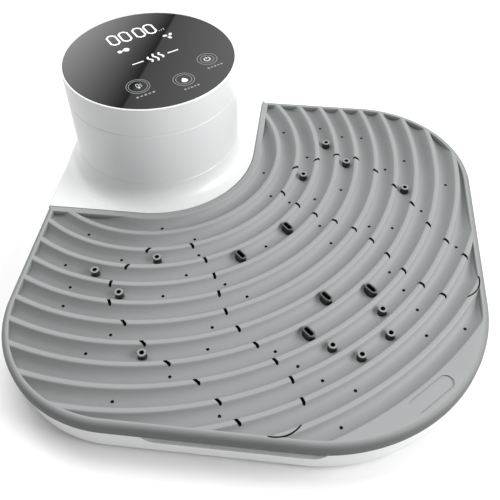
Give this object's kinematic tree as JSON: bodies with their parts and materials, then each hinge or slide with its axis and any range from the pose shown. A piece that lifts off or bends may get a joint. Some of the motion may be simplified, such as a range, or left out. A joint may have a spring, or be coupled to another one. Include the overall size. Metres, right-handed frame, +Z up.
{
  "type": "hot-air drying tray",
  "caption": "Low rounded-square tray with a ribbed silicone mat of air nozzles, blown by a fan and heater in a round corner tower with a touch panel.",
  "frame": {"origin": "middle of the object's outline, on the surface it stands on", "axes": "+Z up; -Y towards the rounded front corner; the tower is at +Y; X is across the plane of symmetry"},
  "size_m": [0.387, 0.3799, 0.1212],
  "materials": {
    "white_shell": "smooth satin white moulding",
    "grey_silicone": "matt moulded silicone",
    "dark_glass": "polished dark glass, opaque behind",
    "black_rubber": "matt rubber",
    "steel": "bright zinc",
    "dark_magnet": "bonded magnet",
    "black_plastic": "fine texture",
    "copper_windings": "enamelled wire on a laminated core",
    "heat_resin": "heat-proof resin",
    "bare_aluminium": "bare fins",
    "plated_brass": "plated",
    "circuit_board": "solder-masked board",
    "grey_foam": "conductive foam",
    "filter_mesh": "woven mesh",
    "lead_sleeve": "sleeved lead",
    "panel_print": "white marks printed on a film",
    "nozzle_resin": "dark grey moulding"
  },
  "bodies": {
    "housing": {"air_guide": "white_shell", "base_screws": "steel", "base_shell": "white_shell", "control_board": "circuit_board", "control_board_screws": "steel", "control_chips": "black_plastic", "deck_shell": "white_shell", "digit_display": "black_plastic", "fan_bearings": "steel", "fan_bracket": "white_shell", "fan_frame": "black_plastic", "fan_screws": "steel", "fan_stator": "copper_windings", "heater_element": "bare_aluminium", "heater_frame": "heat_resin", "heater_terminals": "plated_brass", "icon_film": "panel_print", "inlet_pins": "plated_brass", "inlet_socket": "black_plastic", "intake_filter": "filter_mesh", "mains_leads": "lead_sleeve", "panel_glass": "dark_glass", "plenum_gasket": "black_rubber", "power_board": "circuit_board", "power_board_screws": "steel", "power_parts": "black_plastic", "rubber_feet": "black_rubber", "thermal_cutoff": "steel", "touch_pads": "grey_foam", "tower_body": "white_shell", "tower_collar": "white_shell", "tower_screws": "steel"},
    "rotor": {"fan_rotor": "black_plastic", "fan_shaft": "steel", "fan_magnet": "dark_magnet"},
    "mat": {"ribbed_mat": "grey_silicone", "nozzle_oval_01": "nozzle_resin", "nozzle_oval_02": "nozzle_resin", "nozzle_oval_03": "nozzle_resin", "nozzle_oval_04": "nozzle_resin", "nozzle_oval_05": "nozzle_resin", "nozzle_round_01": "nozzle_resin", "nozzle_round_02": "nozzle_resin", "nozzle_round_03": "nozzle_resin", "nozzle_round_04": "nozzle_resin", "nozzle_round_05": "nozzle_resin", "nozzle_round_06": "nozzle_resin", "nozzle_round_07": "nozzle_resin", "nozzle_round_08": "nozzle_resin", "nozzle_round_09": "nozzle_resin", "nozzle_round_10": "nozzle_resin", "nozzle_round_11": "nozzle_resin", "nozzle_round_12": "nozzle_resin"}
  },
  "joints": [
    {"name": "fan_spin", "type": "hinge", "parent": "housing", "child": "rotor", "pos_m": [0, 0.11796, 0.068], "axis": [0, 0, 1], "continuous": true},
    {"name": "mat_lift", "type": "slide", "parent": "housing", "child": "mat", "axis": [0, 0, 1], "range_m": [0, 0.06]}
  ]
}
